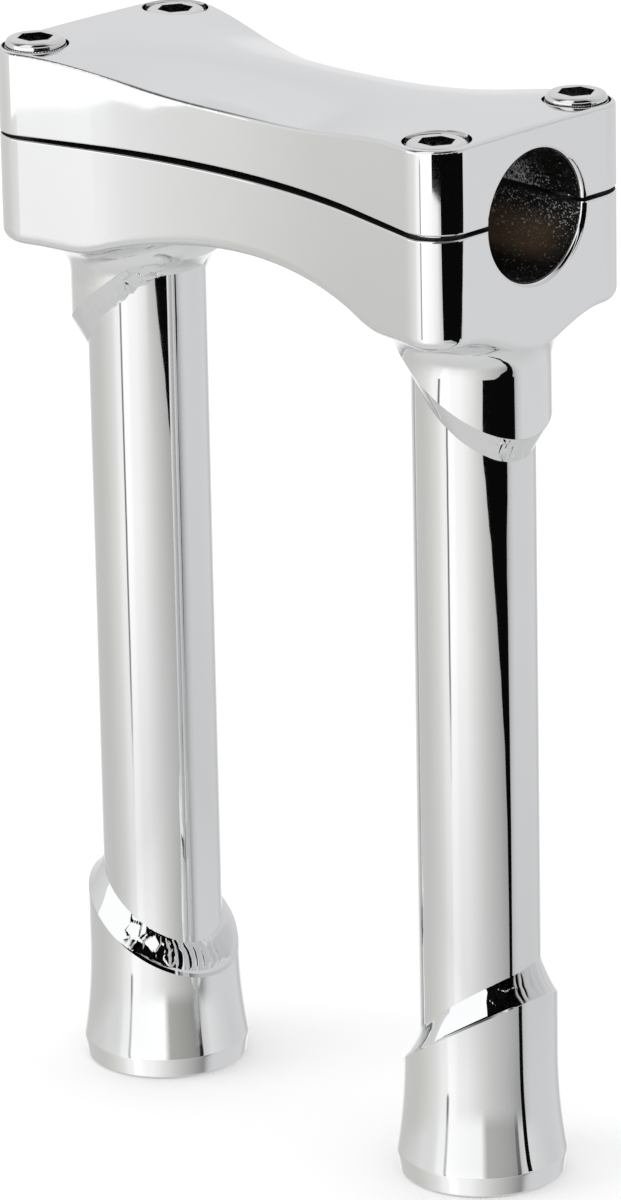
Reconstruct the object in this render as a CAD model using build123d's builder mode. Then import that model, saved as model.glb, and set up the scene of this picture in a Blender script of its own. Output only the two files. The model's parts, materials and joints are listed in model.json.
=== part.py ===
"""Welded handlebar riser: a split cast clamp on two tubes with flared feet.

Millimetres. X runs along the bar, Y front to back, Z up. The origin lies on the
ground plane, midway between the two feet.
"""

import os
from math import cos, hypot, pi, radians, sin, tan

from build123d import *

# Overall layout
leg_spacing = 88.9  # centre distance of the two mounting bolts, 3.5 in
bar_height = 197.6  # height of the bar axis above the ground plane
bar_d = 25.4  # 1 in handlebar
mouth_round = 1.1  # rounding of the bore's two mouths
mouth_angle = 10.0  # angle at which that rounding meets the end faces
form_overlap = 2.0  # how far a forming solid reaches past what it shapes

# Clamp outline seen from above
screw_pitch_x = 107.96  # 4.25 in
screw_inset = 6.35  # from the bar bore's side to the screws' axes
screw_rim = 7.5  # from a screw's axis to the outer wall around it
waist_wall = 5.3  # wall beside the bar bore at the middle
flank_angle = 13.7  # angle between a flank and the bar axis, seen from above

# Cap of the clamp
cap_wall = 4.5  # wall over the bar bore, up to the top's edge at the ends
cap_crown = 0.4  # height of the crest over that edge
cap_edge_round = 0.8
waist_dip = 4.9  # how far the top's edge drops at the waist
dip_reach = 52.0  # how far the dip runs each way from the middle
dip_fullness = 1.35  # over 1 keeps the middle of the dip low for longer

# Lower half of the clamp
block_wall = 9.2  # wall under the bar bore, down to the flat underside at the ends
block_edge_round = 2.8
arch_rise = 6.2  # height of the arch between the legs
arch_span = 76.0
arch_blend_r = 30.0  # rounding where the arch meets the flat underside

# Gap between the two halves, which touch on four pads around the screws
gap_left = 0.35
gap_peak = 1.2
gap_peak_x = 15.0
gap_right = 0.75
pad_margin = 1.5  # from a pad's edge to the clamp's outer wall
parting_edge_round = 0.4

# Clamp screws, 5/16 in socket head
screw_d = 7.94
screw_length = 25.4
screw_tip_bevel = 0.8
head_d = 11.9
head_h = 7.94
head_bevel_w = 1.8  # polished bevel around the top of the head
head_bevel_h = 1.3
socket_af = 6.35
socket_depth = 4.2
counterbore_gap = 0.65  # radial room around a head
shank_gap = 0.25  # radial room around a shank in the cap
tap_runout = 2.0  # tapped hole beyond a seated screw's end
back_off = 1.7  # how far two of the screws stand proud

# Legs
tube_d = 23.82  # 15/16 in
tube_wall = 3.05
socket_roof = 7.0  # metal between the bar bore and the top of a tube
boss_wall = 3.09
boss_flare_r = 9.0  # hollow rounding between a boss and the block
boss_length = 10.5  # from the block's underside to a boss's slanted lip, on the leg's axis
boss_level = 3.3  # length of a boss on the inner side, where its lip levels off
boss_bend_r = 8.0  # rounding where the lip levels off
boss_lip_angle = 37.0  # slant of a boss's lip, which drops outwards
boss_toe_angle = 42.0  # slant of the weld's far edge below a boss
boss_weld = 5.9  # width of that weld along the tube
collar_wall = 3.24
collar_height = 30.5  # height of a foot's slanted lip on the leg's axis
collar_lip_angle = 32.0  # slant of a foot's lip, which rises outwards
collar_toe_angle = 36.0  # slant of the weld's far edge above a foot
collar_weld = 5.4  # width of that weld along the tube
lip_bevel = 0.45  # broken edge of a foot's lip
weld_step = 0.4  # how far a foot's weld stays inside the bevel of its lip
# Weld section: share of its width, then its height over the tube as shares of the
# lip's height, on the outer and on the inner side of the leg
weld_profile = ((0, 1, 1), (0.35, 0.93, 0.68), (0.7, 0.68, 0.34), (1, 0.08, 0.08))

# Feet
foot_spread = 1.7  # how much wider a foot is than its collar, on each side
foot_flare_h = 24.0  # height at which a foot starts to flare
foot_bevel_h = 4.3
foot_bevel_w = 0.6
foot_bevel_round = 2.0
foot_edge_round = 0.6
foot_floor = 19.0  # thickness of the floor under the tube
mount_hole_d = 10.72  # drilled for a 1/2 in thread
mount_bevel = 1.0

# Values that follow from those above
leg_x = leg_spacing / 2
screw_x = screw_pitch_x / 2
screw_y = bar_d / 2 + screw_inset
waist_half = bar_d / 2 + waist_wall
clamp_half_length = screw_x + screw_rim
cap_height = bar_d / 2 + cap_wall
cap_top = bar_height + cap_height
crest = cap_top + cap_crown
block_bottom = bar_height - bar_d / 2 - block_wall
tube_top = bar_height - bar_d / 2 - socket_roof
head_seat = cap_top - head_h
tube_r = tube_d / 2
boss_r = tube_r + boss_wall
boss_lip = block_bottom - boss_length
collar_r = tube_r + collar_wall
foot_r = collar_r + foot_spread
legs = {"left": -1, "right": 1}
corners = {
    "front_left": (-1, -1, back_off),
    "front_right": (1, -1, 0),
    "back_left": (-1, 1, 0),
    "back_right": (1, 1, back_off),
}

# The flank touches the corner's arc, and the waist's arc that it leads into
flank_offset = (
    screw_y * cos(radians(flank_angle)) - screw_x * sin(radians(flank_angle)) + screw_rim
)
waist_centre_y = (waist_half - flank_offset) / (1 - cos(radians(flank_angle)))
waist_r = waist_centre_y - waist_half
flank_start = waist_r * sin(radians(flank_angle))


def clamp_half_width(x):
    """Half width of the clamp at x, along the waist and then the flank."""
    inner = min(abs(x), flank_start)
    waist = waist_centre_y - (waist_r**2 - inner**2) ** 0.5
    return waist + (abs(x) - inner) * tan(radians(flank_angle))


def cap_edge_height(x):
    """Height of the top's edge at x, which dips at the waist."""
    reach = min(abs(x) / dip_reach, 1)
    return cap_top - waist_dip * (1 + cos(pi * reach**dip_fullness)) / 2


def leg_distance(point):
    """Distance of a point from the nearer leg's axis."""
    return hypot(abs(point.X) - leg_x, point.Y)


def slant_plane(side, height, angle):
    """Plane that crosses a leg's axis at a height and rises outwards by an angle."""
    tilt = side * radians(angle)
    return Plane(
        origin=(side * leg_x, 0, height),
        x_dir=(cos(tilt), 0, sin(tilt)),
        z_dir=(-sin(tilt), 0, cos(tilt)),
    )


def weld_bead(side, lip_r, lip, lip_angle, toe, toe_angle):
    """Weld bead around a tube, from a slanted lip to its thin far edge."""
    with BuildPart() as bead:
        for share, outer_rise, inner_rise in weld_profile:
            angle = lip_angle + share * (toe_angle - lip_angle)
            outer = tube_r + (lip_r - tube_r) * outer_rise
            inner = tube_r + (lip_r - tube_r) * inner_rise
            stretch = 1 / cos(radians(angle))
            with BuildSketch(slant_plane(side, lip + share * (toe - lip), angle)):
                with Locations((side * stretch * (outer - inner) / 2, 0)):
                    Ellipse(stretch * (outer + inner) / 2, (outer + inner) / 2)
        loft()
        with BuildSketch(Plane.XY.offset(lip - 2 * lip_r)):
            with Locations((side * leg_x, 0)):
                Circle(tube_r)
        extrude(amount=4 * lip_r, mode=Mode.SUBTRACT)
    return bead.part


# Outline of both clamp halves, seen from above
with BuildSketch(Plane.XY) as clamp_outline:
    with BuildLine():
        sweep = 90 + flank_angle
        front = CenterArc((0, -waist_centre_y), waist_r, 90 - flank_angle, 2 * flank_angle)
        back = CenterArc((0, waist_centre_y), waist_r, 270 - flank_angle, 2 * flank_angle)
        back_right = CenterArc((screw_x, screw_y), screw_rim, 0, sweep)
        back_left = CenterArc((-screw_x, screw_y), screw_rim, 180 - sweep, sweep)
        front_left = CenterArc((-screw_x, -screw_y), screw_rim, 180, sweep)
        front_right = CenterArc((screw_x, -screw_y), screw_rim, 360 - sweep, sweep)
        Line(front_right @ 1, back_right @ 0)
        Line(back_right @ 1, back @ 1)
        Line(back @ 0, back_left @ 0)
        Line(back_left @ 1, front_left @ 0)
        Line(front_left @ 1, front @ 1)
        Line(front @ 0, front_right @ 0)
    make_face()

# Vertical block of that outline, taller than the clamp
with BuildPart() as outline_block:
    with BuildSketch(Plane.XY.offset(boss_lip - 2 * boss_r)):
        add(clamp_outline.sketch)
    extrude(amount=crest + form_overlap - boss_lip + 2 * boss_r)

# Crowned and dished form that gives the cap its top
with BuildPart() as cap_form:
    for share in (-1.05, -0.84, -0.63, -0.42, -0.21, 0, 0.21, 0.42, 0.63, 0.84, 1.05):
        x = share * clamp_half_length
        drop = crest - cap_edge_height(x)
        crown_r = (clamp_half_width(x) ** 2 + drop**2) / (2 * drop)
        half = clamp_half_width(x) + form_overlap
        side_z = crest - crown_r + (crown_r**2 - half**2) ** 0.5
        with BuildSketch(Plane.YZ.offset(x)):
            with BuildLine():
                Polyline((-half, side_z), (-half, bar_height), (half, bar_height), (half, side_z))
                ThreePointArc((-half, side_z), (0, crest), (half, side_z))
            make_face()
    loft()

# Room that opens between the halves
with BuildPart() as parting_room:
    with BuildSketch(Plane.XZ):
        with BuildLine():
            end = clamp_half_length + form_overlap
            floor = bar_height - form_overlap
            left = (-end, bar_height + gap_left)
            right = (end, bar_height + gap_right)
            Polyline(left, (-end, floor), (end, floor), right)
            ThreePointArc(left, (gap_peak_x, bar_height + gap_peak), right)
        make_face()
    extrude(amount=2 * screw_y, both=True)

# Core of the bar bore, which widens along a quarter round at each mouth
with BuildPart() as bar_core:
    with BuildSketch(Plane.XZ):
        with BuildLine():
            wall_z = bar_height + bar_d / 2
            start = clamp_half_length - mouth_round
            lean = radians(mouth_angle)
            turn_x = start + mouth_round * cos(lean)
            turn_z = wall_z + mouth_round * (1 - sin(lean))
            mid_x = start + mouth_round * cos(radians(45 + mouth_angle / 2))
            mid_z = wall_z + mouth_round * (1 - sin(radians(45 + mouth_angle / 2)))
            out_x = turn_x + form_overlap * sin(lean)
            out_z = turn_z + form_overlap * cos(lean)
            ThreePointArc((-turn_x, turn_z), (-mid_x, mid_z), (-start, wall_z))
            Line((-start, wall_z), (start, wall_z))
            ThreePointArc((start, wall_z), (mid_x, mid_z), (turn_x, turn_z))
            Polyline(
                (turn_x, turn_z),
                (out_x, out_z),
                (out_x, bar_height),
                (-out_x, bar_height),
                (-out_x, out_z),
                (-turn_x, turn_z),
            )
        make_face()
    revolve(axis=Axis((0, 0, bar_height), (1, 0, 0)))

# Cap of the clamp
with BuildPart() as top_clamp:
    add(cap_form.part)
    add(outline_block.part, mode=Mode.INTERSECT)
    fillet(top_clamp.faces().sort_by(Axis.Z)[-1].outer_wire().edges(), cap_edge_round)
    add(parting_room.part, mode=Mode.SUBTRACT)
    fillet(top_clamp.faces().sort_by(Axis.Z)[0].outer_wire().edges(), parting_edge_round)
    with BuildSketch(Plane.XY.offset(bar_height)):
        with GridLocations(screw_pitch_x, 2 * screw_y, 2, 2):
            Circle(screw_rim - pad_margin)
    extrude(amount=gap_peak + form_overlap)
    add(bar_core.part, mode=Mode.SUBTRACT)
    with BuildSketch(Plane.XY.offset(head_seat)):
        with GridLocations(screw_pitch_x, 2 * screw_y, 2, 2):
            Circle(head_d / 2 + counterbore_gap)
    extrude(amount=2 * head_h, mode=Mode.SUBTRACT)
    with BuildSketch(Plane.XY.offset(head_seat)):
        with GridLocations(screw_pitch_x, 2 * screw_y, 2, 2):
            Circle(screw_d / 2 + shank_gap)
    extrude(amount=-cap_height, mode=Mode.SUBTRACT)
top_clamp.part.label = "top_clamp"

# Room under the bosses' lips, which drop outwards and level off on the inner side
with BuildPart() as lip_room:
    with BuildSketch(Plane.XZ) as lip_cuts:
        for side in legs.values():
            with BuildLine():
                slope = tan(radians(boss_lip_angle))
                reach = boss_r + boss_flare_r
                level = block_bottom - boss_level
                bend = (boss_length - boss_level) / slope
                Polyline(
                    (side * (leg_x + reach), boss_lip - reach * slope),
                    (side * (leg_x - bend), level),
                    (side * (leg_x - reach), level),
                    (side * (leg_x - reach), boss_lip - 3 * reach),
                    (side * (leg_x + reach), boss_lip - 3 * reach),
                    close=True,
                )
            make_face()
        bends = lip_cuts.vertices().filter_by(lambda v: abs(abs(v.X) - leg_x + bend) < 0.01)
        fillet(bends, boss_bend_r)
    extrude(amount=2 * boss_r, both=True)

# Lower half of the clamp with its two bosses
with BuildPart() as lower_clamp:
    with BuildSketch(Plane.XZ) as block_front:
        with BuildLine():
            end = clamp_half_length + boss_flare_r + form_overlap
            half = arch_span / 2
            Polyline(
                (-half, block_bottom),
                (-end, block_bottom),
                (-end, bar_height),
                (end, bar_height),
                (end, block_bottom),
                (half, block_bottom),
            )
            ThreePointArc((-half, block_bottom), (0, block_bottom + arch_rise), (half, block_bottom))
        make_face()
        springings = block_front.vertices().filter_by(lambda v: abs(abs(v.X) - half) < 0.01)
        fillet(springings, arch_blend_r)
    extrude(amount=2 * screw_y, both=True)
    with BuildSketch(Plane.XY.offset(boss_lip - 2 * boss_r)):
        with Locations((-leg_x, 0), (leg_x, 0)):
            Circle(boss_r)
    extrude(amount=bar_height - form_overlap - boss_lip + 2 * boss_r)
    roots = lower_clamp.edges().filter_by(
        lambda e: abs(leg_distance(e @ 0.5) - boss_r) < 0.01 and (e @ 0.5).Z > block_bottom - 0.1
    )
    fillet(roots, boss_flare_r)
    add(outline_block.part, mode=Mode.INTERSECT)
    walls = lower_clamp.faces().filter_by(
        lambda f: f.bounding_box().max.Z > bar_height - 0.01 and abs(f.normal_at().Z) < 0.01
    )
    lower_rim = walls.edges().filter_by(lambda e: e.bounding_box().max.Z < bar_height - 1)
    fillet(lower_rim, block_edge_round)
    fillet(lower_clamp.faces().sort_by(Axis.Z)[-1].outer_wire().edges(), parting_edge_round)
    add(bar_core.part, mode=Mode.SUBTRACT)
    with BuildSketch(Plane.XY.offset(head_seat - screw_length - tap_runout)):
        with GridLocations(screw_pitch_x, 2 * screw_y, 2, 2):
            Circle(screw_d / 2)
    extrude(amount=screw_length, mode=Mode.SUBTRACT)
    add(lip_room.part, mode=Mode.SUBTRACT)
    with BuildSketch(Plane.XY.offset(tube_top)):
        with Locations((-leg_x, 0), (leg_x, 0)):
            Circle(tube_r)
    extrude(amount=-3 * boss_r, mode=Mode.SUBTRACT)
lower_clamp.part.label = "lower_clamp"

# Clamp screws, two of them backed off a little
screws = []
for corner, (side_x, side_y, lift) in corners.items():
    seat = (side_x * screw_x, side_y * screw_y, head_seat + lift)
    with BuildPart() as screw:
        with BuildSketch(Plane(origin=seat, x_dir=(1, 0, 0), z_dir=(0, -1, 0))):
            with BuildLine():
                Polyline(
                    (0, -screw_length),
                    (screw_d / 2 - screw_tip_bevel, -screw_length),
                    (screw_d / 2, screw_tip_bevel - screw_length),
                    (screw_d / 2, 0),
                    (head_d / 2, 0),
                    (head_d / 2, head_h - head_bevel_h),
                    (head_d / 2 - head_bevel_w, head_h),
                    (0, head_h),
                    close=True,
                )
            make_face()
        revolve(axis=Axis(seat, (0, 0, 1)))
        with BuildSketch(Plane(origin=seat).offset(head_h)):
            RegularPolygon(radius=socket_af / 2, side_count=6, major_radius=False)
        extrude(amount=-socket_depth, mode=Mode.SUBTRACT)
    screw.part.label = f"clamp_screw_{corner}"
    screws.append(screw.part)

# Tubes, feet and weld beads of the two legs
leg_parts = []
for name, side in legs.items():
    with BuildPart() as tube:
        with BuildSketch(Plane.XY.offset(foot_floor)):
            with Locations((side * leg_x, 0)):
                Circle(tube_r)
                Circle(tube_r - tube_wall, mode=Mode.SUBTRACT)
        extrude(amount=tube_top - foot_floor)
    tube.part.label = f"riser_tube_{name}"

    with BuildPart() as foot:
        middle = (side * leg_x, 0, 0)
        collar_top = collar_height + 2 * collar_r
        with BuildSketch(Plane(origin=middle, x_dir=(1, 0, 0), z_dir=(0, -1, 0))) as foot_half:
            with BuildLine():
                Polyline(
                    (collar_r, foot_flare_h),
                    (collar_r, collar_top),
                    (0, collar_top),
                    (0, 0),
                    (foot_r - foot_bevel_w, 0),
                    (foot_r, foot_bevel_h),
                )
                TangentArc((collar_r, foot_flare_h), (foot_r, foot_bevel_h), tangent=(0, -1))
            make_face()
            rims = foot_half.vertices().filter_by(lambda v: v.X > 0.01).sort_by(Axis.Y)
            fillet(rims[0], foot_edge_round)
            knees = foot_half.vertices().filter_by(lambda v: abs(v.Y - foot_bevel_h) < 0.01)
            fillet(knees, foot_bevel_round)
        revolve(axis=Axis(middle, (0, 0, 1)))
        with BuildSketch(slant_plane(side, collar_height, collar_lip_angle)):
            Circle(2 * collar_r)
        extrude(amount=4 * collar_r, mode=Mode.SUBTRACT)
        chamfer(foot.faces().sort_by(Axis.Z)[-1].outer_wire().edges(), lip_bevel)
        with BuildSketch(Plane.XY.offset(foot_floor)):
            with Locations((side * leg_x, 0)):
                Circle(tube_r)
        extrude(amount=collar_top, mode=Mode.SUBTRACT)
        with BuildSketch(Plane.XY):
            with Locations((side * leg_x, 0)):
                Circle(mount_hole_d / 2)
        extrude(amount=foot_floor, mode=Mode.SUBTRACT)
        chamfer(foot.faces().sort_by(Axis.Z)[0].inner_wires().edges(), mount_bevel)
    foot.part.label = f"base_{name}"

    with BuildPart() as clamp_weld:
        toe = boss_lip - boss_weld
        add(weld_bead(side, boss_r, boss_lip, -boss_lip_angle, toe, -boss_toe_angle))
        add(lip_room.part, mode=Mode.INTERSECT)
    clamp_weld.part.label = f"clamp_weld_{name}"

    with BuildPart() as base_weld:
        bead_r = collar_r - weld_step - lip_bevel
        toe = collar_height + collar_weld
        add(weld_bead(side, bead_r, collar_height, collar_lip_angle, toe, collar_toe_angle))
    base_weld.part.label = f"base_weld_{name}"
    leg_parts += [tube.part, foot.part, clamp_weld.part, base_weld.part]

# One STEP file for each piece
os.makedirs("parts", exist_ok=True)
for piece in [top_clamp.part, lower_clamp.part] + screws + leg_parts:
    export_step(piece, f"parts/{piece.label}.step")
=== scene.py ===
"""Chromed handlebar riser: looks, weld beads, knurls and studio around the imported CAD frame.

Lengths are in metres, or in millimetres where a comment says so. Azimuths run from +X towards +Y.
"""

import json
import math

import bpy
from mathutils import Matrix, Vector, noise as solid_noise


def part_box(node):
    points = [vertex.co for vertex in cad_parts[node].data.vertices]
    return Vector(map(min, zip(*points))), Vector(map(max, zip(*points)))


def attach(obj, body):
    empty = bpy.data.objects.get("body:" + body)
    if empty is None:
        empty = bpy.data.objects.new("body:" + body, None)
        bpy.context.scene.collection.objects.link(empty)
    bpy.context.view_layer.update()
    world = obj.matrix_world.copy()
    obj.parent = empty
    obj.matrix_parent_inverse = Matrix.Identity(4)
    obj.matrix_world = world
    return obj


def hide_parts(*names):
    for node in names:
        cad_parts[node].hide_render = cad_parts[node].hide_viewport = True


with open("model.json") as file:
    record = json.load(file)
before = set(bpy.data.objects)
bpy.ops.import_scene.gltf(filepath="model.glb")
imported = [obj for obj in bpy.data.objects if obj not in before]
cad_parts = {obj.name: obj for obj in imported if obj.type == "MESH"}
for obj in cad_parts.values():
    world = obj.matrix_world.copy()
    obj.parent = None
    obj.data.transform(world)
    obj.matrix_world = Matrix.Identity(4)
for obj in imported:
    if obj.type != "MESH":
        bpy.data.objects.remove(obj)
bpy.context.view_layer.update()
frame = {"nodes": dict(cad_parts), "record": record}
nodes = frame["nodes"]
MM = 0.001

# Camera, fitted to the photograph: degrees, metres, and millimetres for lens and sensor
CAMERA_AZIMUTH = 44.943
CAMERA_ELEVATION = 19.076
CAMERA_ROLL = -1.139
CAMERA_DISTANCE = 1.38823
CAMERA_TARGET = Vector((-0.000332, 0, 0.107685))
CAMERA_LENS = 211.88
CAMERA_SENSOR = 36
CAMERA_CLIP = (0.01, 50)

# Level of the dark hairline in the table's sweep
HAIRLINE_LEVEL = 0.06

# What the metal mirrors, in sweeps around the object: azimuth in degrees, level, warmth.
# Upright walls mirror the table, the clamp's walls also the horizon, undercut forms what lies
# underneath, and the feet's welds, the edges and the top what lies higher.
UNDER_SWEEP = (
    (-180, 0.50, 0.3),
    (-165, 0.64, 0.3),
    (20, 0.64, 0.0),
    (85, 0.58, 0.0),
    (110, 0.36, 0.0),
    (165, 0.36, 0.0),
)
TABLE_SWEEP = (
    (-180, 0.56, 0.4),
    (-155, 0.57, 0.8),
    (-140, 0.62, 0.8),
    (-126, 0.70, 0.8),
    (-116, 0.78, 0.4),
    (-107, 0.92, 0.3),
    (-99, 0.96, 0.2),
    (-98.2, HAIRLINE_LEVEL, 0.0),
    (-96.0, HAIRLINE_LEVEL, 0.0),
    (-95.2, 1.12, 0.2),
    (-86, 1.09, 0.2),
    (-80, 1.00, 0.2),
    (-66, 0.95, 0.2),
    (-50, 0.79, 0.4),
    (-33, 0.62, 0.5),
    (-20, 0.52, 0.5),
    (-6, 0.42, 0.4),
    (12, 0.26, -0.15),
    (22, 0.56, -0.2),
    (30, 0.65, -0.2),
    (91, 0.65, -0.2),
    (108, 0.50, -0.15),
    (120, 0.85, 0.0),
    (150, 0.85, 0.0),
    (162, 0.56, 0.4),
)
SEAMLESS_TABLE_SWEEP = tuple(stop for stop in TABLE_SWEEP if stop[1] > HAIRLINE_LEVEL)
HORIZON_SWEEP = (
    (-180, 0.64, 0.4),
    (-162, 0.64, 0.5),
    (-150, 0.66, 0.4),
    (-135, 0.73, 0.3),
    (-120, 0.74, 0.1),
    (-114, 0.79, 0.1),
    (-109, 0.95, 0.0),
    (-99, 1.00, 0.0),
    (-98.2, 0.45, 0.0),
    (-96.0, 0.45, 0.0),
    (-95.2, 1.12, 0.2),
    (-48, 1.10, 0.0),
    (-40, 0.42, 0.9),
    (-10, 0.31, 0.9),
    (0, 0.24, 0.6),
    (1, 0.02, 0.0),
    (6, 0.02, 0.0),
    (7, 0.60, 0.0),
    (20, 0.76, 0.0),
    (38, 0.68, -0.1),
    (60, 0.62, -0.2),
    (91, 0.64, -0.2),
    (135, 0.72, -0.15),
)
LOW_SKY_SWEEP = (
    (-180, 0.62, 0.0),
    (-150, 0.70, 0.0),
    (-112, 0.80, 0.0),
    (-66, 0.82, 0.0),
    (-50, 0.74, 0.0),
    (10, 0.66, 0.0),
    (24, 0.50, -0.2),
    (90, 0.62, -0.2),
    (135, 0.67, -0.15),
)
OVERHEAD_SWEEP = (
    (-180, 0.60, -0.1),
    (-158, 0.45, 0.0),
    (-140, 0.10, 0.0),
    (-118, 0.10, 0.0),
    (-112, 1.00, 0.2),
    (-66, 1.00, 0.0),
    (-56, 0.0, 0.0),
    (10, 0.0, 0.0),
    (24, 0.45, -0.2),
    (60, 0.66, -0.2),
    (90, 0.64, -0.2),
    (135, 0.68, -0.15),
    (165, 0.72, -0.15),
)

# The sweeps over the lowest one, each with the heights between which it takes over. A height is
# the upward part of a mirrored direction, from -1 to 1.
SWEEP_STACK = (
    (-0.82, -0.62, SEAMLESS_TABLE_SWEEP),
    (-0.356, -0.334, TABLE_SWEEP),
    (-0.31, -0.23, HORIZON_SWEEP),
    (0.05, 0.16, LOW_SKY_SWEEP),
    (0.40, 0.55, OVERHEAD_SWEEP),
)
ZENITH_HEIGHTS = (0.90, 0.97)
ZENITH_LEVEL = 0.45
SWEEP_STRENGTH = 1.2
WARM_TINT = 0.055

# Black gap in the table's sweep: distance from the right leg's axis and its two azimuths
GAP_EDGES = (
    (0.040, 5.0, 10.0),
    (0.100, 8.0, 13.5),
    (0.160, 9.0, 15.5),
    (0.210, 8.0, 16.0),
    (0.258, 5.0, 15.6),
    (0.306, -1.5, 15.0),
    (0.348, -8.0, 14.6),
    (0.378, -13.0, 13.4),
    (0.407, -17.5, 14.0),
    (0.450, -26.0, 17.0),
    (0.500, -33.0, 16.0),
    (0.560, -33.0, 15.0),
    (0.620, -36.0, 22.0),
    (0.700, -38.0, 30.0),
    (2.500, -39.0, 33.0),
)
CARD_SHADE = 0.003

# Upright flags round the front, mirrored mainly by the feet's welds: their distance and heights,
# and the two azimuths and the level of each
FLAG_RADIUS = 0.45
FLAG_HEIGHTS = (0.095, 0.335)
FLAG_STEPS = 24
FLAGS = {"black_flag": (-57, 10, 0.0), "white_flag": (-135, -57, 1.3)}

# Floor's paper, and what it shows beyond its own light, for the camera only
FLOOR_RADIUS = 6
FLOOR_SHADE = 0.96
FLOOR_GLOW = 0.1

# Painted shade on the table round the object, seen by the metal only: share at distances from its
# middle, and level
TABLE_SHADE_RADIUS = 0.36
TABLE_SHADE_SHARES = ((0.06, 0.0), (0.14, 0.40), (0.22, 0.26), (0.36, 0.0))
TABLE_SHADE_LEVEL = 0.66

# The floor lies just under the feet, and the painted table shade and the black gap just over it
FLOOR_HEIGHT = -0.1 * MM
TABLE_SHADE_HEIGHT = 0.1 * MM
GAP_HEIGHT = 0.2 * MM
DISC_POINTS = 96

# The one lamp, which the metal doesn't mirror: place, aim and size, and power in watts
LAMP_PLACE = Vector((-1.2, -1.4, 1.8))
LAMP_AIM = Vector((0, 0, 0.1))
LAMP_SIZE = 1.2
LAMP_POWER = 6

# Chrome: colour, and the roughness of its polish
CHROME = {
    "clamp_chrome": ((0.81, 0.815, 0.82), 0.035),
    "tube_chrome": ((0.775, 0.78, 0.785), 0.03),
    "base_chrome": ((0.78, 0.785, 0.79), 0.035),
    "weld_chrome": ((0.76, 0.765, 0.77), 0.03),
    "screw_chrome": ((0.76, 0.76, 0.76), 0.08),
}

# Unevenness of the polish: scale and detail of its noises, the tone of the darker patches, the
# share of the fine noise, and the factors on a chrome's roughness over the noise's usual range
PATCH_NOISE = (60, 3)
FINE_NOISE = (1400, 2)
WAVE_NOISE = (90, 1)
WAVE_HEIGHT = 0.02 * MM
PATCH_TONE = 0.97
FINE_SHARE = 0.3
WEAR_RANGE = (0.3, 0.7)
POLISH_RANGE = (0.6, 1.5)

# Bar bore and parting faces, left as cast, with painted shade in their near-black: the bore's skin
# fades out over these distances beyond its radius, and a parting face lies this near the bar's
# axis and faces up or down this squarely
BAR_RADIUS = 12.7 * MM
BAR_HEIGHT = 197.6 * MM
BORE_FADE = (0.06 * MM, 0.01 * MM)
PARTING_HALF = 1.6 * MM
PARTING_UPRIGHT = 0.9

# The cast skin: its colours, of which the near-black is painted shade over the dark skin of the
# bore and the parting gap, and the grey is painted glints; the scale, detail and roughness of its
# grain, the depth of its wrinkles, and how rough it is
CAST_BROWN = (0.15, 0.095, 0.055, 1)
DARK_CAST_AND_SHADE = (0.004, 0.004, 0.004, 1)
PAINTED_GLINT = (0.72, 0.72, 0.72, 1)
CAST_GRAIN = (2300, 3, 0.6)
CAST_WRINKLE = 0.25 * MM
PARTING_ROUGHNESS = 0.7
BORE_ROUGHNESS = 0.35

# Heights over the bar's axis, in millimetres, where each begins, is full, fades and has ended
UPPER_GLINTS = (0, 1, 4, 9)
LOWER_GLINTS = (-11, -2, -1, 0)
BROWN_BAND = (-12, -9, -7, -2)

# Distances from the middle along the bar where painted glints and brown have ended and where they
# are full
GLINT_REACH = (58 * MM, 42 * MM)
BROWN_REACH = (61 * MM, 50 * MM)

# What is added to the grain in the two bands of painted glints, and the sums at which the glints
# just begin and are full
UPPER_SHINE = 0.20
LOWER_SHINE = 0.08
GLINT_RANGE = (0.63, 0.72)

# Legs and rims that the welds join, in millimetres, as in the part's source
LEG_X = 44.45
TUBE_R = 11.91
BOSS_R = 15.0
COLLAR_R = 15.15
BLOCK_BOTTOM = 175.7

# Slanted lips and toes of the welds: height on the leg's axis in millimetres, slope outwards
UPPER_LIP = (165.2, -0.754)
UPPER_TOE = (159.3, -0.90)
LOWER_LIP = (30.5, 0.625)
LOWER_TOE = (35.9, 0.727)

# The upper ones stop these millimetres under the clamp's block, and the lower toe climbs at
# the back
LIP_STOP = 3.3
TOE_STOP = 7.1
TOE_CLIMB = 2.4
CLIMB_RANGE = (-0.3, 0.9)

# Each weld: where it ripples, has facets and is straight from lip to toe and, at the feet, where
# it leaves the collar's edge bare or merges with it, as (direction, half width) in degrees. 0
# points outwards and 90 to the front. Then the height of its ripples, slope of its facets.
NOWHERE = (0, 0)
WELDS = {
    "clamp_weld_left": {
        "ripple": (80, 40),
        "facets": (130, 26),
        "straight": (20, 70),
        "ripple_height": 0.09,
        "facet_slope": 0.24,
        "seed": 3,
    },
    "clamp_weld_right": {
        "ripple": (2, 22),
        "facets": (24, 22),
        "straight": (60, 115),
        "ripple_height": 0.10,
        "facet_slope": 0.13,
        "seed": 8,
    },
    "base_weld_left": {
        "ripple": (165, 34),
        "facets": (122, 24),
        "straight": (110, 85),
        "bare": (155, 48),
        "merge": (200, 60),
        "ripple_height": 0.20,
        "facet_slope": 0.22,
        "seed": 17,
    },
    "base_weld_right": {
        "ripple": (6, 34),
        "facets": (26, 16),
        "straight": (30, 78),
        "bare": (52, 34),
        "merge": NOWHERE,
        "ripple_height": 0.12,
        "facet_slope": 0.05,
        "seed": 23,
    },
}

# Points of a bead's surface round the leg, and steps from its lip to its toe
AROUND = 900
ACROSS = 26

# Share of a window's half width in which it is full
WINDOW_CORE = 0.7

# Bead's section in millimetres: how far its lip stands out from boss and collar, and how far its
# toe and its hidden inner wall lie inside the tube's surface. Then the powers of its hollow.
BOSS_PROUD = 0.06
COLLAR_PROUD = 0.03
TOE_SINK = 0.05
INNER_SINK = 0.4
UPPER_HOLLOW = 1.35
LOWER_HOLLOW = 1.6

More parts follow.
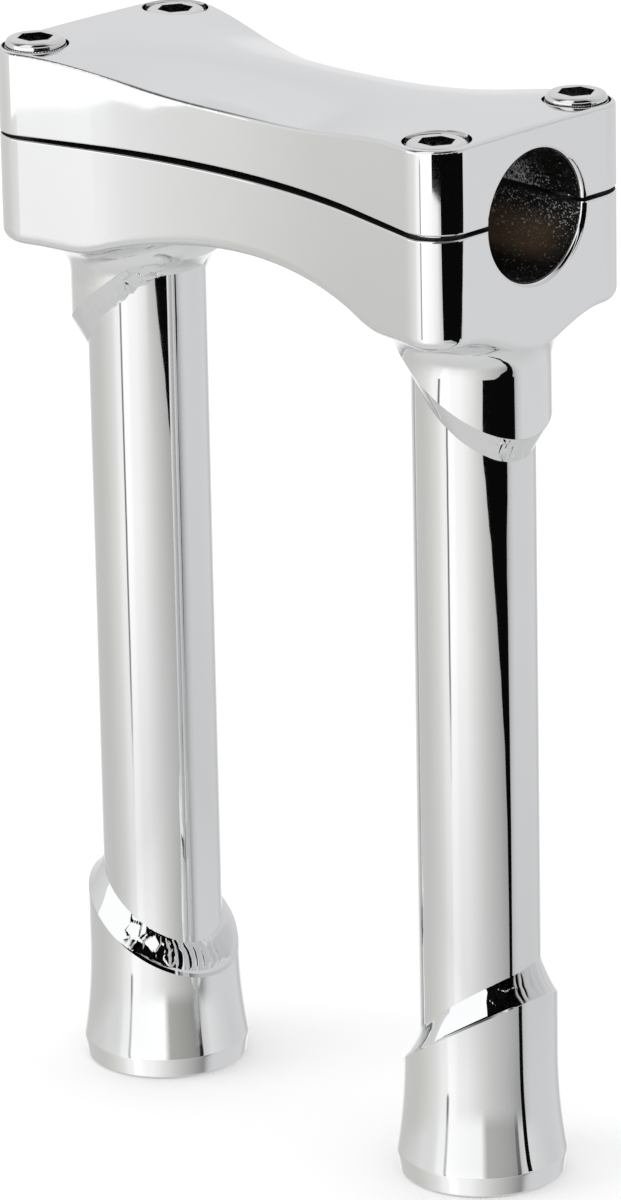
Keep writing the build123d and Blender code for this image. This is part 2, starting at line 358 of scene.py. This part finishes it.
# The collar's edge is bevelled: a lip covers the bevel, or stays inside it where the edge is bare
LIP_BEVEL = 0.45
BEVEL_COVER = LIP_BEVEL + 0.1
BARE_INSET = LIP_BEVEL + 0.35

# Unevenness of the beads in millimetres: a seed moves a bead through the noises, ripples bow
# from lip to toe, drift round the leg and jitter, and everything dies out at lip and toe
SEED_STEP = 10
SWELL_HEIGHT = 0.10
SWELL_SCALE = 0.22
FACET_SCALE = 0.42
FACET_SPREAD = 7.3
RIPPLES = 46
RIPPLE_BOW = 1.8
BOW_MIDDLE = 0.45
RIPPLE_DRIFT = 0.5
DRIFT_SCALE = 6
RIPPLE_JITTER = 0.12
JITTER_SCALE = 1.1
CREST_POWER = 0.7
CREST_MEAN = 0.6
MIDDLE_POWER = 0.6

# Screw heads in millimetres: radii of the socket's mouth and of the flat ring, the rounded
# shoulder, and the knurled band, with depths under the head's top
MOUTH_R = 3.72
MOUTH_DIP = 0.05
MOUTH_DEPTH = 0.4
RING_R = 4.5
SHOULDER = 1.2
SHOULDER_STEPS = 8
BAND_TOP = 1.6
BAND_BOTTOM = 7.4
BAND_TUCK = 0.3
KNURL_TOP = 1.8
KNURL_BOTTOM = 7.0
KNURL_TEETH = 64
KNURL_DEPTH = 0.22
TOOTH_STEPS = 8

# How far the ring lies over the CAD head, and the band's valleys inside it, in millimetres
RING_LIFT = 0.03
BAND_SINK = 0.03

# Sockets of a Mix node for each type of data: its two inputs and its output
MIX_SOCKETS = {"FLOAT": (2, 3, 0), "RGBA": (6, 7, 2)}


def link(tree, out, socket):
    """Joins an output, or sets a value, at an input socket."""
    if isinstance(out, (int, float, tuple)):
        socket.default_value = out
    else:
        tree.links.new(out, socket)


def math_node(tree, operation, a, b=0.0):
    node = tree.nodes.new("ShaderNodeMath")
    node.operation = operation
    link(tree, a, node.inputs[0])
    link(tree, b, node.inputs[1])
    return node.outputs[0]


def smooth_step(tree, value, low, high, out_low=0.0, out_high=1.0):
    """Smooth change over a range, which may also run from its higher end to its lower one."""
    node = tree.nodes.new("ShaderNodeMapRange")
    node.interpolation_type = "SMOOTHSTEP"
    link(tree, value, node.inputs["Value"])
    node.inputs["From Min"].default_value = low
    node.inputs["From Max"].default_value = high
    node.inputs["To Min"].default_value = out_low
    node.inputs["To Max"].default_value = out_high
    return node.outputs["Result"]


def band(tree, value, edges):
    """1 in the middle of a band and 0 outside it, from its four edges in millimetres."""
    start, full, fade, end = (edge * MM for edge in edges)
    rise = smooth_step(tree, value, start, full)
    return math_node(tree, "MULTIPLY", rise, smooth_step(tree, value, end, fade))


def mix(tree, data_type, factor, a, b):
    first, second, result = MIX_SOCKETS[data_type]
    node = tree.nodes.new("ShaderNodeMix")
    node.data_type = data_type
    link(tree, factor, node.inputs[0])
    link(tree, a, node.inputs[first])
    link(tree, b, node.inputs[second])
    return node.outputs[result]


def mix_color(tree, factor, a, b):
    return mix(tree, "RGBA", factor, a, b)


def mix_value(tree, factor, a, b):
    return mix(tree, "FLOAT", factor, a, b)


def noise(tree, vector, scale, detail, roughness=0.5):
    node = tree.nodes.new("ShaderNodeTexNoise")
    node.inputs["Scale"].default_value = scale
    node.inputs["Detail"].default_value = detail
    node.inputs["Roughness"].default_value = roughness
    link(tree, vector, node.inputs["Vector"])
    return node.outputs["Fac"]


def bump(tree, height, distance, strength=1.0, normal=None):
    node = tree.nodes.new("ShaderNodeBump")
    link(tree, strength, node.inputs["Strength"])
    node.inputs["Distance"].default_value = distance
    link(tree, height, node.inputs["Height"])
    if normal is not None:
        link(tree, normal, node.inputs["Normal"])
    return node.outputs[0]


def split(tree, vector):
    """The x, y and z of a vector."""
    node = tree.nodes.new("ShaderNodeSeparateXYZ")
    link(tree, vector, node.inputs[0])
    return node.outputs


def grey(level):
    return (level, level, level, 1)


def color_ramp(tree, factor, stops):
    """Colour ramp from stops of a position and a colour."""
    ramp = tree.nodes.new("ShaderNodeValToRGB")
    while len(ramp.color_ramp.elements) < len(stops):
        ramp.color_ramp.elements.new(0.5)
    for element, (position, color) in zip(ramp.color_ramp.elements, stops):
        element.position = position
        element.color = color
    link(tree, factor, ramp.inputs[0])
    return ramp.outputs[0]


def sweep_color(tree, azimuth, sweep):
    """Colour of a sweep at an azimuth that runs from 0 to 1."""
    ring = sorted(sweep)
    ring.append((180, ring[0][1], ring[0][2]))
    stops = []
    for degrees, level, warmth in ring:
        blue = level * (1 - WARM_TINT * warmth)
        stops.append(((degrees + 180) / 360, (level, level, blue, 1)))
    return color_ramp(tree, azimuth, stops)


def new_material(name):
    material = bpy.data.materials.new(name)
    material.use_nodes = True
    return material


def shader_of(material):
    return material.node_tree.nodes["Principled BSDF"]


def paper(name, shade, glow):
    """Material without shine, with its own shade and a white light."""
    material = new_material(name)
    shader = shader_of(material)
    shader.inputs["Base Color"].default_value = grey(shade)
    shader.inputs["Roughness"].default_value = 1
    shader.inputs["Specular IOR Level"].default_value = 0
    shader.inputs["Emission Color"].default_value = grey(1)
    shader.inputs["Emission Strength"].default_value = glow
    return material


def add_object(name, data, material=None):
    obj = bpy.data.objects.new(name, data)
    bpy.context.scene.collection.objects.link(obj)
    if material is not None:
        data.materials.append(material)
    return obj


def add_disc(name, radius, height, material):
    """Flat disc around the object's middle."""
    turns = [2 * math.pi * i / DISC_POINTS for i in range(DISC_POINTS)]
    rim = [(radius * math.cos(t), radius * math.sin(t), 0) for t in turns]
    mesh = bpy.data.meshes.new(name)
    mesh.from_pydata(rim, [], [list(range(DISC_POINTS))])
    disc = add_object(name, mesh, material)
    disc.location.z = height
    return disc


def strip_faces(count):
    """Faces between two lines of points that follow one another in a mesh."""
    return [(i, i + 1, count + i + 1, count + i) for i in range(count - 1)]


def mirror_only(card):
    """Makes a card of the studio one that only the metal sees."""
    card.visible_camera = False
    card.visible_diffuse = False
    card.visible_shadow = False


def add_camera():
    azimuth = math.radians(CAMERA_AZIMUTH)
    elevation = math.radians(CAMERA_ELEVATION)
    roll = math.radians(CAMERA_ROLL)
    forward = Vector(
        (
            -math.sin(azimuth) * math.cos(elevation),
            math.cos(azimuth) * math.cos(elevation),
            -math.sin(elevation),
        )
    )
    level = Vector((math.cos(azimuth), math.sin(azimuth), 0))
    upright = level.cross(forward)
    right = level * math.cos(roll) + upright * math.sin(roll)
    up = upright * math.cos(roll) - level * math.sin(roll)
    data = bpy.data.cameras.new("camera")
    data.lens = CAMERA_LENS
    data.sensor_width = CAMERA_SENSOR
    data.clip_start, data.clip_end = CAMERA_CLIP
    camera = add_object("camera", data)
    turn = Matrix((right, up, -forward)).transposed().to_4x4()
    camera.matrix_world = Matrix.Translation(CAMERA_TARGET - forward * CAMERA_DISTANCE) @ turn
    bpy.context.scene.camera = camera


def add_world():
    """White background and plain light, and the studio's sweeps for what the metal mirrors."""
    world = bpy.data.worlds.new("studio")
    bpy.context.scene.world = world
    world.use_nodes = True
    tree = world.node_tree
    tree.nodes.clear()
    coords = tree.nodes.new("ShaderNodeTexCoord")
    x, y, height = split(tree, coords.outputs["Generated"])
    turn = math_node(tree, "ARCTAN2", y, x)
    azimuth = math_node(tree, "ADD", math_node(tree, "DIVIDE", turn, 2 * math.pi), 0.5)
    color = sweep_color(tree, azimuth, UNDER_SWEEP)
    for low, high, sweep in SWEEP_STACK:
        share = smooth_step(tree, height, low, high)
        color = mix_color(tree, share, color, sweep_color(tree, azimuth, sweep))
    share = smooth_step(tree, height, *ZENITH_HEIGHTS)
    color = mix_color(tree, share, color, grey(ZENITH_LEVEL))
    mirrored = tree.nodes.new("ShaderNodeBackground")
    link(tree, color, mirrored.inputs["Color"])
    mirrored.inputs["Strength"].default_value = SWEEP_STRENGTH
    plain = tree.nodes.new("ShaderNodeBackground")
    plain.inputs["Color"].default_value = grey(1)
    plain.inputs["Strength"].default_value = 1
    path = tree.nodes.new("ShaderNodeLightPath")
    is_glossy = path.outputs["Is Glossy Ray"]
    is_mirrored = math_node(tree, "MAXIMUM", is_glossy, path.outputs["Is Transmission Ray"])
    pick = tree.nodes.new("ShaderNodeMixShader")
    link(tree, is_mirrored, pick.inputs[0])
    link(tree, plain.outputs[0], pick.inputs[1])
    link(tree, mirrored.outputs[0], pick.inputs[2])
    out = tree.nodes.new("ShaderNodeOutputWorld")
    link(tree, pick.outputs[0], out.inputs["Surface"])


def add_floor():
    """Pale floor that takes the object's shadow; the metal sees the studio's sweep instead."""
    material = paper("floor_paper", FLOOR_SHADE, 0)
    tree = material.node_tree
    path = tree.nodes.new("ShaderNodeLightPath")
    glow = math_node(tree, "MULTIPLY", path.outputs["Is Camera Ray"], FLOOR_GLOW)
    link(tree, glow, shader_of(material).inputs["Emission Strength"])
    floor = add_disc("floor", FLOOR_RADIUS, FLOOR_HEIGHT, material)
    floor.visible_glossy = False


def add_gap_card():
    """Black gap between two sheets of the sweep, seen by the metal only."""
    low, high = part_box("riser_tube_right")
    centre = Vector(((low.x + high.x) / 2, 0, 0))
    left = []
    right = []
    for distance, start, end in GAP_EDGES:
        for angle, side in ((start, left), (end, right)):
            turn = math.radians(angle)
            side.append(centre + distance * Vector((math.cos(turn), math.sin(turn), 0)))
    mesh = bpy.data.meshes.new("gap_card")
    mesh.from_pydata(left + right, [], strip_faces(len(left)))
    card = add_object("gap_card", mesh, paper("black_card", CARD_SHADE, 0))
    card.location.z = GAP_HEIGHT
    mirror_only(card)


def add_flag(name, start, end, level):
    """Upright flag, seen by the metal only."""
    points = []
    for height in FLAG_HEIGHTS:
        for i in range(FLAG_STEPS + 1):
            turn = math.radians(start + (end - start) * i / FLAG_STEPS)
            points.append((FLAG_RADIUS * math.cos(turn), FLAG_RADIUS * math.sin(turn), height))
    mesh = bpy.data.meshes.new(name)
    mesh.from_pydata(points, [], strip_faces(FLAG_STEPS + 1))
    mirror_only(add_object(name, mesh, paper(name, CARD_SHADE, level)))


def add_table_shade():
    """Painted shade: soft grey of the table round the feet, seen by the metal only."""
    material = paper("painted_table_shade", 0, TABLE_SHADE_LEVEL)
    tree = material.node_tree
    coords = tree.nodes.new("ShaderNodeTexCoord")
    length = tree.nodes.new("ShaderNodeVectorMath")
    length.operation = "LENGTH"
    link(tree, coords.outputs["Object"], length.inputs[0])
    reach = math_node(tree, "DIVIDE", length.outputs["Value"], TABLE_SHADE_RADIUS)
    stops = [(distance / TABLE_SHADE_RADIUS, grey(share)) for distance, share in TABLE_SHADE_SHARES]
    link(tree, color_ramp(tree, reach, stops), shader_of(material).inputs["Alpha"])
    mirror_only(add_disc("painted_table_shade", TABLE_SHADE_RADIUS, TABLE_SHADE_HEIGHT, material))


def add_lamp():
    data = bpy.data.lights.new("key_lamp", "AREA")
    data.size = LAMP_SIZE
    data.energy = LAMP_POWER
    lamp = add_object("key_lamp", data)
    lamp.location = LAMP_PLACE
    lamp.rotation_euler = (LAMP_AIM - LAMP_PLACE).to_track_quat("-Z", "Y").to_euler()
    lamp.visible_glossy = False


def cast_finish(tree, place, tone, polish, normal):
    """Leaves bore and parting faces as cast: dark with painted shade, wrinkled, with painted
    glints inside.
    """
    x, y, z = split(tree, place)
    drop = math_node(tree, "SUBTRACT", z, BAR_HEIGHT)
    across = math_node(tree, "POWER", y, 2)
    square = math_node(tree, "ADD", across, math_node(tree, "POWER", drop, 2))
    radius = math_node(tree, "SQRT", square)
    bore = smooth_step(tree, radius, *(BAR_RADIUS + fade for fade in BORE_FADE))
    facing = tree.nodes.new("ShaderNodeNewGeometry")
    upward = math_node(tree, "ABSOLUTE", split(tree, facing.outputs["True Normal"])[2])
    level = math_node(tree, "GREATER_THAN", upward, PARTING_UPRIGHT)
    near = math_node(tree, "LESS_THAN", math_node(tree, "ABSOLUTE", drop), PARTING_HALF)
    cast = math_node(tree, "MAXIMUM", bore, math_node(tree, "MULTIPLY", level, near))

    grain = noise(tree, place, *CAST_GRAIN)
    reach = math_node(tree, "ABSOLUTE", x)
    inside = smooth_step(tree, reach, *GLINT_REACH)
    above = math_node(tree, "MULTIPLY", band(tree, drop, UPPER_GLINTS), inside)
    above = math_node(tree, "MULTIPLY", above, UPPER_SHINE)
    below = math_node(tree, "MULTIPLY", band(tree, drop, LOWER_GLINTS), LOWER_SHINE)
    shine = math_node(tree, "ADD", above, below)
    # Painted glints: light grey specks where the grain, raised in the two bands, passes the range
    painted_glint = smooth_step(tree, math_node(tree, "ADD", grain, shine), *GLINT_RANGE)
    warm = band(tree, drop, BROWN_BAND)
    warm = math_node(tree, "MULTIPLY", warm, smooth_step(tree, reach, *BROWN_REACH))

    # Near-black: painted shade of the bore and the parting gap over the dark cast skin, with brown
    # low in the bore
    dark = mix_color(tree, warm, DARK_CAST_AND_SHADE, CAST_BROWN)
    dark = mix_color(tree, math_node(tree, "MULTIPLY", painted_glint, bore), dark, PAINTED_GLINT)
    tone = mix_color(tree, cast, tone, dark)
    rough = mix_value(tree, bore, PARTING_ROUGHNESS, BORE_ROUGHNESS)
    polish = mix_value(tree, cast, polish, rough)
    normal = bump(tree, grain, CAST_WRINKLE, bore, normal)
    metal = math_node(tree, "SUBTRACT", 1, cast)
    return tone, polish, normal, metal


def chrome(slot, cast=False):
    """Polished chrome; with cast, the clamp's bore and parting faces stay as cast."""
    color, roughness = CHROME[slot]
    material = new_material(slot)
    tree = material.node_tree
    shader = shader_of(material)
    shader.inputs["Metallic"].default_value = 1
    coords = tree.nodes.new("ShaderNodeTexCoord")
    place = coords.outputs["Object"]
    patches = noise(tree, place, *PATCH_NOISE)
    fine = noise(tree, place, *FINE_NOISE)
    darker = tuple(PATCH_TONE * c for c in color) + (1,)
    tone = mix_color(tree, patches, darker, color + (1,))
    wear = mix_value(tree, FINE_SHARE, patches, fine)
    smoothest, roughest = (factor * roughness for factor in POLISH_RANGE)
    polish = smooth_step(tree, wear, *WEAR_RANGE, smoothest, roughest)
    normal = bump(tree, noise(tree, place, *WAVE_NOISE), WAVE_HEIGHT)
    if cast:
        tone, polish, normal, metal = cast_finish(tree, place, tone, polish, normal)
        link(tree, metal, shader.inputs["Metallic"])
    link(tree, tone, shader.inputs["Base Color"])
    link(tree, polish, shader.inputs["Roughness"])
    link(tree, normal, shader.inputs["Normal"])
    return material


def smooth(value, low, high):
    share = min(max((value - low) / (high - low), 0), 1)
    return share * share * (3 - 2 * share)


def window(turn, centre, half):
    """1 around a direction, falling to 0 at its half width, all in degrees."""
    if half == 0:
        return 0
    away = abs((turn - centre + 180) % 360 - 180)
    return 1 - smooth(away, WINDOW_CORE * half, half)


def ring_mesh(name, rows, sharp_rows):
    """Closed ring from rows of points that run round it, with sharp edges along some rows."""
    count = len(rows[0])
    points = [p for row in rows for p in row]
    faces = []
    for i in range(len(rows)):
        for j in range(count):
            a = i * count
            b = ((i + 1) % len(rows)) * count
            k = (j + 1) % count
            faces.append((a + j, a + k, b + k, b + j))
    mesh = bpy.data.meshes.new(name)
    mesh.from_pydata(points, [], faces)
    mesh.shade_smooth()
    sharp = set(sharp_rows)
    for edge in mesh.edges:
        a, b = (v // count for v in edge.vertices)
        edge.use_edge_sharp = a == b and a in sharp
    return mesh


def slanted(line, out, radius):
    """Height of a slanted line at a radius, in a direction given by its outward part."""
    height, slope = line
    return height + slope * out * radius


def weld_edges(upper, out, back):
    """Heights of a weld's lip and toe at a point of the ring, in millimetres."""
    if upper:
        lip = min(slanted(UPPER_LIP, out, BOSS_R), BLOCK_BOTTOM - LIP_STOP)
        toe = min(slanted(UPPER_TOE, out, TUBE_R), BLOCK_BOTTOM - TOE_STOP)
        return lip, toe
    lip = slanted(LOWER_LIP, out, COLLAR_R)
    toe = slanted(LOWER_TOE, out, TUBE_R) + TOE_CLIMB * smooth(back, *CLIMB_RANGE)
    return lip, toe


def facet_height(place):
    """Height of flat facets, each with its own tilt, at a place in millimetres."""
    spot = place * FACET_SCALE
    corner = solid_noise.voronoi(spot)[1][0]
    tilt = solid_noise.cell_vector(corner * FACET_SPREAD)
    return (spot - corner).dot(tilt * 2 - Vector((1, 1, 1))) / FACET_SCALE


def ripple_height(plan, turn, share, around, place):
    """Height of the ripples, whose crests run from lip to toe."""
    phase = RIPPLES * turn / 360 + RIPPLE_BOW * (share - BOW_MIDDLE) ** 2
    phase += RIPPLE_DRIFT * solid_noise.noise(around * DRIFT_SCALE)
    phase += RIPPLE_JITTER * solid_noise.noise(place * JITTER_SCALE)
    crest = abs(math.sin(math.pi * phase)) ** CREST_POWER
    return plan["ripple_height"] * window(turn, *plan["ripple"]) * (crest - CREST_MEAN)


def weld_point(upper, plan, turn, share):
    """Radius and height of a weld's surface, from its lip at 0 to its toe at 1."""
    out = math.cos(math.radians(turn))
    front = math.sin(math.radians(turn))
    lip, toe = weld_edges(upper, out, -front)
    if upper:
        lip_r = BOSS_R + BOSS_PROUD
        hollow = (1 - share) ** UPPER_HOLLOW
    else:
        bare = window(turn, *plan["bare"])
        lip_r = COLLAR_R + COLLAR_PROUD - BARE_INSET * bare
        lip -= BEVEL_COVER * (1 - bare)
        hollow = (1 - share) ** LOWER_HOLLOW
        merge = window(turn, *plan["merge"])
        hollow += merge * ((1 + math.cos(math.pi * share)) / 2 - hollow)
    straight = window(turn, *plan["straight"])
    rise = straight * (1 - share) + (1 - straight) * hollow
    height = lip + (toe - lip) * share
    around = Vector((out, front, plan["seed"]))
    place = Vector((out * TUBE_R, front * TUBE_R, height + SEED_STEP * plan["seed"]))
    swell = SWELL_HEIGHT * solid_noise.noise(place * SWELL_SCALE)
    facets = plan["facet_slope"] * window(turn, *plan["facets"]) * facet_height(place)
    ripples = ripple_height(plan, turn, share, around, place)
    middle = math.sin(math.pi * share) ** MIDDLE_POWER
    lift = middle * (swell + facets + ripples)
    return TUBE_R - TOE_SINK + (lip_r - TUBE_R) * rise + lift, height


def add_weld(node, plan):
    """Bead that stands in for a smooth CAD weld."""
    upper = node.startswith("clamp")
    side = 1 if node.endswith("right") else -1
    rows = []
    for i in range(ACROSS + 1):
        row = []
        for j in range(AROUND):
            turn = 360 * j / AROUND
            radius, height = weld_point(upper, plan, turn, i / ACROSS)
            x = LEG_X + radius * math.cos(math.radians(turn))
            y = -radius * math.sin(math.radians(turn))
            row.append(Vector((side * x, y, height)) * MM)
        rows.append(row)
    inner = TUBE_R - INNER_SINK
    for source in (rows[-1], rows[0]):
        row = []
        for point in source:
            turn = math.atan2(point.y, point.x - side * LEG_X * MM)
            x = side * LEG_X + inner * math.cos(turn)
            row.append(Vector((x * MM, inner * math.sin(turn) * MM, point.z)))
        rows.append(row)
    mesh = ring_mesh(node + "_bead", rows, (0, ACROSS, ACROSS + 1, ACROSS + 2))
    weld = add_object(node + "_bead", mesh, materials["weld_chrome"])
    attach(weld, "root")
    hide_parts(node)


def add_head(screw):
    """Polished ring, rounded shoulder and knurled band of a screw's head."""
    low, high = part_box(screw)
    centre = (low + high) / 2
    head_r = (high.x - low.x) / 2 / MM
    band_r = head_r - BAND_SINK
    top = high.z / MM + RING_LIFT
    profile = [
        (head_r - BAND_TUCK, top - BAND_BOTTOM, 0),
        (band_r, top - BAND_BOTTOM, 0),
        (band_r, top - KNURL_BOTTOM, 1),
        (band_r, top - KNURL_TOP, 1),
        (band_r, top - BAND_TOP, 0),
    ]
    band_rows = range(len(profile))
    for i in range(SHOULDER_STEPS + 1):
        turn = math.radians(90 * i / SHOULDER_STEPS)
        reach = head_r - SHOULDER + SHOULDER * math.cos(turn)
        profile.append((reach, top - SHOULDER + SHOULDER * math.sin(turn), 0))
    profile += [(RING_R, top, 0), (MOUTH_R, top - MOUTH_DIP, 0), (MOUTH_R, top - MOUTH_DEPTH, 0)]
    rows = []
    for reach, z, knurled in profile:
        row = []
        for j in range(KNURL_TEETH * TOOTH_STEPS):
            tooth = 1 - abs(2 * (j % TOOTH_STEPS) / TOOTH_STEPS - 1)
            radius = (reach + knurled * KNURL_DEPTH * tooth) * MM
            turn = 2 * math.pi * j / (KNURL_TEETH * TOOTH_STEPS)
            x = centre.x + radius * math.cos(turn)
            y = centre.y + radius * math.sin(turn)
            row.append((x, y, z * MM))
        rows.append(row)
    last = len(rows) - 1
    mesh = ring_mesh(screw + "_head", rows, (*band_rows, last - 1, last))
    head = add_object(screw + "_head", mesh, materials["screw_chrome"])
    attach(head, "root")


# Chrome on the CAD pieces
materials = {slot: chrome(slot, slot == "clamp_chrome") for slot in CHROME}
for row in frame["record"]["subparts"]:
    mesh = nodes[row["node"]].data
    mesh.materials.clear()
    mesh.materials.append(materials[row["material_slot"]])

# Beads in place of the CAD welds, and knurled heads over the CAD screws
for node, plan in WELDS.items():
    add_weld(node, plan)
for row in frame["record"]["subparts"]:
    if row["node"].startswith("clamp_screw"):
        add_head(row["node"])

# Studio
add_camera()
add_world()
add_floor()
add_gap_card()
for name, (start, end, level) in FLAGS.items():
    add_flag(name, start, end, level)
# Painted shade on the table round the feet, which the metal mirrors
add_table_shade()
add_lamp()
bpy.context.scene.view_settings.view_transform = "Standard"
